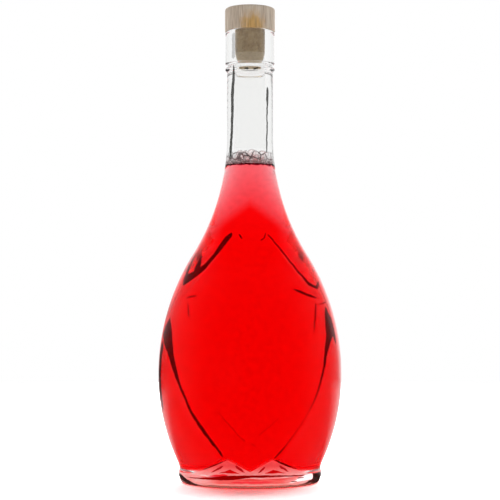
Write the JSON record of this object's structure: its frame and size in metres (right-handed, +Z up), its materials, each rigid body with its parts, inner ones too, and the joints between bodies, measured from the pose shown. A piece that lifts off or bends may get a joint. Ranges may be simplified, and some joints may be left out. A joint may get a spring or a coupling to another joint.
{
  "type": "glass decanter bottle",
  "caption": "Teardrop clear-glass decanter bottle with moulded rhombic panels, filled with red drink and closed by a wood-topped cork stopper that pulls out.",
  "frame": {"origin": "centre of the ring that the bottle stands on", "axes": "+Z up along the bottle's axis towards the stopper; the two pressed tables face -Y and +Y"},
  "size_m": [0.1122, 0.1106, 0.292],
  "materials": {
    "clear_glass": "fire-polished clear flint glass",
    "red_drink": "clear red liquid",
    "turned_wood": "plain turned wood, unvarnished",
    "cork": "fine agglomerated cork"
  },
  "bodies": {
    "bottle": {"bottle_glass": "clear_glass", "drink": "red_drink"},
    "stopper": {"stopper_head": "turned_wood", "stopper_shank": "cork"}
  },
  "joints": [
    {"name": "stopper_pull", "type": "slide", "parent": "bottle", "child": "stopper", "axis": [0, 0, 1], "range_m": [0, 0.035]}
  ]
}
